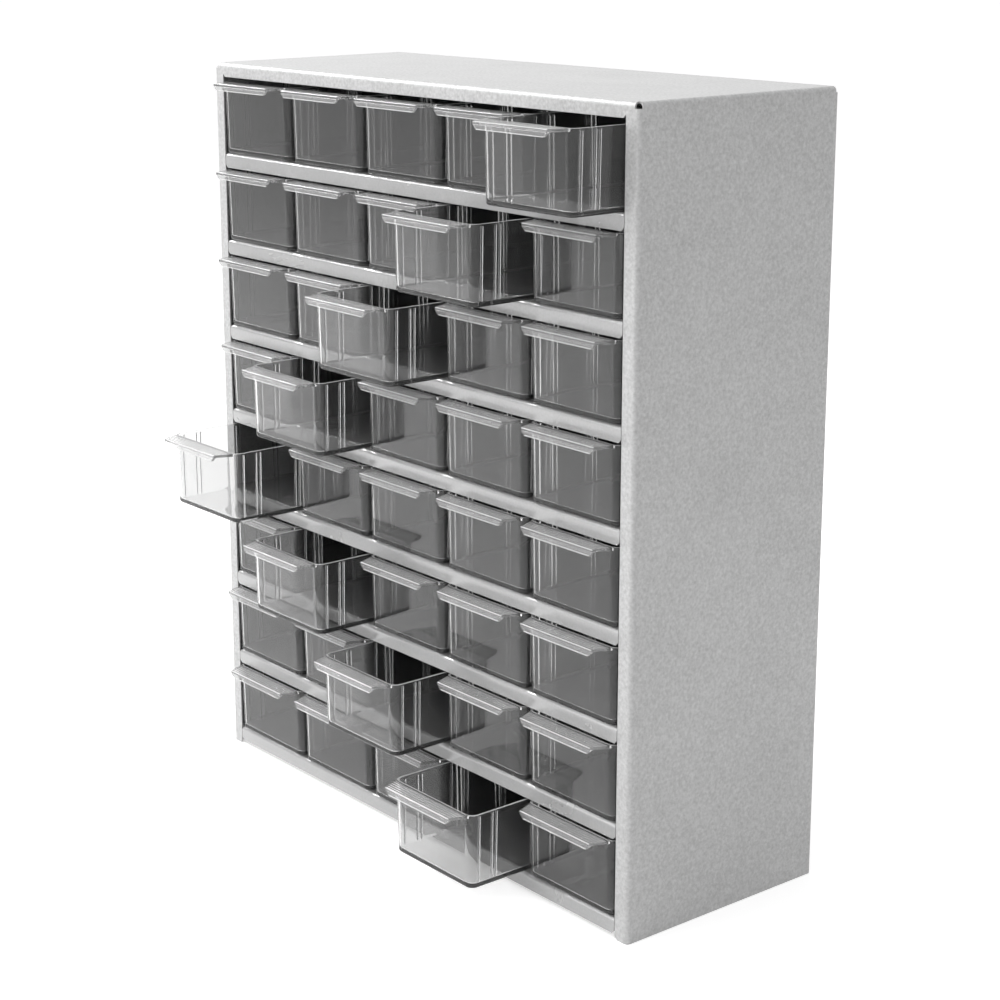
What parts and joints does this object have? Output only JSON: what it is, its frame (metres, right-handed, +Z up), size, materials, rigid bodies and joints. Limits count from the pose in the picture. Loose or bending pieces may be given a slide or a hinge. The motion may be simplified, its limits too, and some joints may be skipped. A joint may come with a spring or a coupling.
{
  "type": "parts bin cabinet",
  "caption": "Sheet-metal cabinet with an open front and rows of small clear plastic drawers that slide out by moulded handles.",
  "frame": {"origin": "on the ground, at the centre of the casing's footprint", "axes": "+Z up, +X to the right seen from the front, -Y out of the front where the drawers open"},
  "size_m": [0.318, 0.1668, 0.372],
  "materials": {
    "casing_paint": "silver-grey enamel with a fine hammered texture",
    "shelf_paint": "smooth silver-grey enamel",
    "clear_plastic": "clear moulded polystyrene, polished"
  },
  "bodies": {
    "cabinet": {"casing": "casing_paint", "back_panel": "casing_paint", "bottom_shelf": "shelf_paint", "shelf_1": "shelf_paint", "shelf_2": "shelf_paint", "shelf_3": "shelf_paint", "shelf_4": "shelf_paint", "shelf_5": "shelf_paint", "shelf_6": "shelf_paint", "shelf_7": "shelf_paint"},
    "drawer_r1_c1": {"drawer_r1_c1": "clear_plastic"},
    "drawer_r1_c2": {"drawer_r1_c2": "clear_plastic"},
    "drawer_r1_c3": {"drawer_r1_c3": "clear_plastic"},
    "drawer_r1_c4": {"drawer_r1_c4": "clear_plastic"},
    "drawer_r1_c5": {"drawer_r1_c5": "clear_plastic"},
    "drawer_r2_c1": {"drawer_r2_c1": "clear_plastic"},
    "drawer_r2_c2": {"drawer_r2_c2": "clear_plastic"},
    "drawer_r2_c3": {"drawer_r2_c3": "clear_plastic"},
    "drawer_r2_c4": {"drawer_r2_c4": "clear_plastic"},
    "drawer_r2_c5": {"drawer_r2_c5": "clear_plastic"},
    "drawer_r3_c1": {"drawer_r3_c1": "clear_plastic"},
    "drawer_r3_c2": {"drawer_r3_c2": "clear_plastic"},
    "drawer_r3_c3": {"drawer_r3_c3": "clear_plastic"},
    "drawer_r3_c4": {"drawer_r3_c4": "clear_plastic"},
    "drawer_r3_c5": {"drawer_r3_c5": "clear_plastic"},
    "drawer_r4_c1": {"drawer_r4_c1": "clear_plastic"},
    "drawer_r4_c2": {"drawer_r4_c2": "clear_plastic"},
    "drawer_r4_c3": {"drawer_r4_c3": "clear_plastic"},
    "drawer_r4_c4": {"drawer_r4_c4": "clear_plastic"},
    "drawer_r4_c5": {"drawer_r4_c5": "clear_plastic"},
    "drawer_r5_c1": {"drawer_r5_c1": "clear_plastic"},
    "drawer_r5_c2": {"drawer_r5_c2": "clear_plastic"},
    "drawer_r5_c3": {"drawer_r5_c3": "clear_plastic"},
    "drawer_r5_c4": {"drawer_r5_c4": "clear_plastic"},
    "drawer_r5_c5": {"drawer_r5_c5": "clear_plastic"},
    "drawer_r6_c1": {"drawer_r6_c1": "clear_plastic"},
    "drawer_r6_c2": {"drawer_r6_c2": "clear_plastic"},
    "drawer_r6_c3": {"drawer_r6_c3": "clear_plastic"},
    "drawer_r6_c4": {"drawer_r6_c4": "clear_plastic"},
    "drawer_r6_c5": {"drawer_r6_c5": "clear_plastic"},
    "drawer_r7_c1": {"drawer_r7_c1": "clear_plastic"},
    "drawer_r7_c2": {"drawer_r7_c2": "clear_plastic"},
    "drawer_r7_c3": {"drawer_r7_c3": "clear_plastic"},
    "drawer_r7_c4": {"drawer_r7_c4": "clear_plastic"},
    "drawer_r7_c5": {"drawer_r7_c5": "clear_plastic"},
    "drawer_r8_c1": {"drawer_r8_c1": "clear_plastic"},
    "drawer_r8_c2": {"drawer_r8_c2": "clear_plastic"},
    "drawer_r8_c3": {"drawer_r8_c3": "clear_plastic"},
    "drawer_r8_c4": {"drawer_r8_c4": "clear_plastic"},
    "drawer_r8_c5": {"drawer_r8_c5": "clear_plastic"}
  },
  "joints": [
    {"name": "slide_r1_c1", "type": "slide", "parent": "cabinet", "child": "drawer_r1_c1", "axis": [0, -1, 0], "range_m": [0, 0.1153]},
    {"name": "slide_r1_c2", "type": "slide", "parent": "cabinet", "child": "drawer_r1_c2", "axis": [0, -1, 0], "range_m": [0, 0.1153]},
    {"name": "slide_r1_c3", "type": "slide", "parent": "cabinet", "child": "drawer_r1_c3", "axis": [0, -1, 0], "range_m": [0, 0.1153]},
    {"name": "slide_r1_c4", "type": "slide", "parent": "cabinet", "child": "drawer_r1_c4", "axis": [0, -1, 0], "range_m": [0, 0.1153]},
    {"name": "slide_r1_c5", "type": "slide", "parent": "cabinet", "child": "drawer_r1_c5", "axis": [0, -1, 0], "range_m": [-0.027, 0.0883]},
    {"name": "slide_r2_c1", "type": "slide", "parent": "cabinet", "child": "drawer_r2_c1", "axis": [0, -1, 0], "range_m": [0, 0.1153]},
    {"name": "slide_r2_c2", "type": "slide", "parent": "cabinet", "child": "drawer_r2_c2", "axis": [0, -1, 0], "range_m": [0, 0.1153]},
    {"name": "slide_r2_c3", "type": "slide", "parent": "cabinet", "child": "drawer_r2_c3", "axis": [0, -1, 0], "range_m": [0, 0.1153]},
    {"name": "slide_r2_c4", "type": "slide", "parent": "cabinet", "child": "drawer_r2_c4", "axis": [0, -1, 0], "range_m": [-0.0295, 0.0858]},
    {"name": "slide_r2_c5", "type": "slide", "parent": "cabinet", "child": "drawer_r2_c5", "axis": [0, -1, 0], "range_m": [0, 0.1153]},
    {"name": "slide_r3_c1", "type": "slide", "parent": "cabinet", "child": "drawer_r3_c1", "axis": [0, -1, 0], "range_m": [0, 0.1153]},
    {"name": "slide_r3_c2", "type": "slide", "parent": "cabinet", "child": "drawer_r3_c2", "axis": [0, -1, 0], "range_m": [0, 0.1153]},
    {"name": "slide_r3_c3", "type": "slide", "parent": "cabinet", "child": "drawer_r3_c3", "axis": [0, -1, 0], "range_m": [-0.03, 0.0853]},
    {"name": "slide_r3_c4", "type": "slide", "parent": "cabinet", "child": "drawer_r3_c4", "axis": [0, -1, 0], "range_m": [0, 0.1153]},
    {"name": "slide_r3_c5", "type": "slide", "parent": "cabinet", "child": "drawer_r3_c5", "axis": [0, -1, 0], "range_m": [0, 0.1153]},
    {"name": "slide_r4_c1", "type": "slide", "parent": "cabinet", "child": "drawer_r4_c1", "axis": [0, -1, 0], "range_m": [0, 0.1153]},
    {"name": "slide_r4_c2", "type": "slide", "parent": "cabinet", "child": "drawer_r4_c2", "axis": [0, -1, 0], "range_m": [-0.027, 0.0883]},
    {"name": "slide_r4_c3", "type": "slide", "parent": "cabinet", "child": "drawer_r4_c3", "axis": [0, -1, 0], "range_m": [0, 0.1153]},
    {"name": "slide_r4_c4", "type": "slide", "parent": "cabinet", "child": "drawer_r4_c4", "axis": [0, -1, 0], "range_m": [0, 0.1153]},
    {"name": "slide_r4_c5", "type": "slide", "parent": "cabinet", "child": "drawer_r4_c5", "axis": [0, -1, 0], "range_m": [0, 0.1153]},
    {"name": "slide_r5_c1", "type": "slide", "parent": "cabinet", "child": "drawer_r5_c1", "axis": [0, -1, 0], "range_m": [-0.0365, 0.0788]},
    {"name": "slide_r5_c2", "type": "slide", "parent": "cabinet", "child": "drawer_r5_c2", "axis": [0, -1, 0], "range_m": [0, 0.1153]},
    {"name": "slide_r5_c3", "type": "slide", "parent": "cabinet", "child": "drawer_r5_c3", "axis": [0, -1, 0], "range_m": [0, 0.1153]},
    {"name": "slide_r5_c4", "type": "slide", "parent": "cabinet", "child": "drawer_r5_c4", "axis": [0, -1, 0], "range_m": [0, 0.1153]},
    {"name": "slide_r5_c5", "type": "slide", "parent": "cabinet", "child": "drawer_r5_c5", "axis": [0, -1, 0], "range_m": [0, 0.1153]},
    {"name": "slide_r6_c1", "type": "slide", "parent": "cabinet", "child": "drawer_r6_c1", "axis": [0, -1, 0], "range_m": [0, 0.1153]},
    {"name": "slide_r6_c2", "type": "slide", "parent": "cabinet", "child": "drawer_r6_c2", "axis": [0, -1, 0], "range_m": [-0.029, 0.0863]},
    {"name": "slide_r6_c3", "type": "slide", "parent": "cabinet", "child": "drawer_r6_c3", "axis": [0, -1, 0], "range_m": [0, 0.1153]},
    {"name": "slide_r6_c4", "type": "slide", "parent": "cabinet", "child": "drawer_r6_c4", "axis": [0, -1, 0], "range_m": [0, 0.1153]},
    {"name": "slide_r6_c5", "type": "slide", "parent": "cabinet", "child": "drawer_r6_c5", "axis": [0, -1, 0], "range_m": [0, 0.1153]},
    {"name": "slide_r7_c1", "type": "slide", "parent": "cabinet", "child": "drawer_r7_c1", "axis": [0, -1, 0], "range_m": [0, 0.1153]},
    {"name": "slide_r7_c2", "type": "slide", "parent": "cabinet", "child": "drawer_r7_c2", "axis": [0, -1, 0], "range_m": [0, 0.1153]},
    {"name": "slide_r7_c3", "type": "slide", "parent": "cabinet", "child": "drawer_r7_c3", "axis": [0, -1, 0], "range_m": [-0.029, 0.0863]},
    {"name": "slide_r7_c4", "type": "slide", "parent": "cabinet", "child": "drawer_r7_c4", "axis": [0, -1, 0], "range_m": [0, 0.1153]},
    {"name": "slide_r7_c5", "type": "slide", "parent": "cabinet", "child": "drawer_r7_c5", "axis": [0, -1, 0], "range_m": [0, 0.1153]},
    {"name": "slide_r8_c1", "type": "slide", "parent": "cabinet", "child": "drawer_r8_c1", "axis": [0, -1, 0], "range_m": [0, 0.1153]},
    {"name": "slide_r8_c2", "type": "slide", "parent": "cabinet", "child": "drawer_r8_c2", "axis": [0, -1, 0], "range_m": [0, 0.1153]},
    {"name": "slide_r8_c3", "type": "slide", "parent": "cabinet", "child": "drawer_r8_c3", "axis": [0, -1, 0], "range_m": [0, 0.1153]},
    {"name": "slide_r8_c4", "type": "slide", "parent": "cabinet", "child": "drawer_r8_c4", "axis": [0, -1, 0], "range_m": [-0.0315, 0.0838]},
    {"name": "slide_r8_c5", "type": "slide", "parent": "cabinet", "child": "drawer_r8_c5", "axis": [0, -1, 0], "range_m": [0, 0.1153]}
  ]
}
